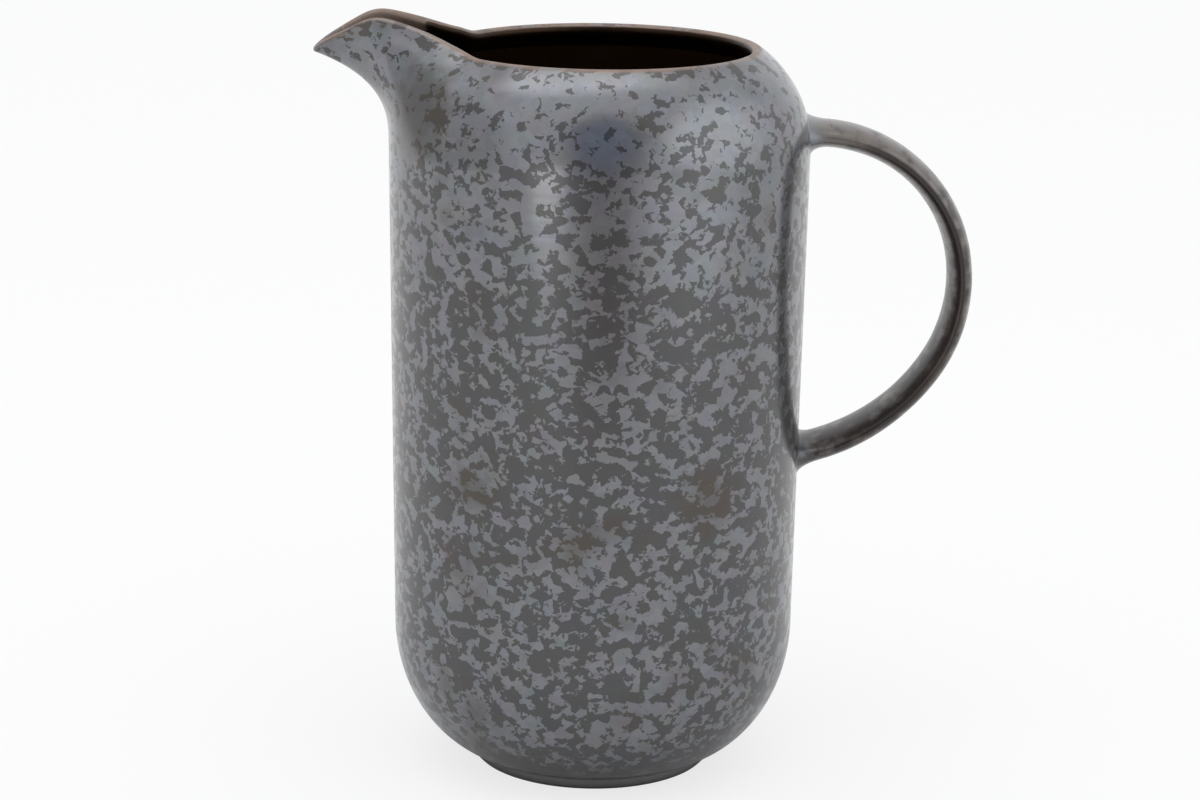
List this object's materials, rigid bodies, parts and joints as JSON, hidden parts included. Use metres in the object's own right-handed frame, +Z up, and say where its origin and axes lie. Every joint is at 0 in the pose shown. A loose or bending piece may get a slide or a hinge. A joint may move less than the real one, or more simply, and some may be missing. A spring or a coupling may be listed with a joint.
{
  "type": "jug",
  "caption": "Tall glazed porcelain jug with rounded shoulder and bowl, a beak pouring spout, a looped strap handle and a low foot ring.",
  "frame": {"origin": "centre of the foot's standing plane, on the axis of the body", "axes": "+Z up along the axis of the body, +X toward the handle, -X toward the spout"},
  "size_m": [0.1813, 0.115, 0.2102],
  "materials": {
    "outer_glaze": "mottled blue grey over dark brown, satin gloss",
    "inner_glaze": "black brown, glossy",
    "bare_clay": "bare fired clay, matt"
  },
  "bodies": {
    "root": {"body": "outer_glaze", "foot_ring": "bare_clay", "spout": "outer_glaze", "handle": "outer_glaze", "upper_handle_joint": "outer_glaze", "lower_handle_joint": "outer_glaze", "liner_glaze": "inner_glaze", "spout_liner_glaze": "inner_glaze"}
  },
  "joints": []
}
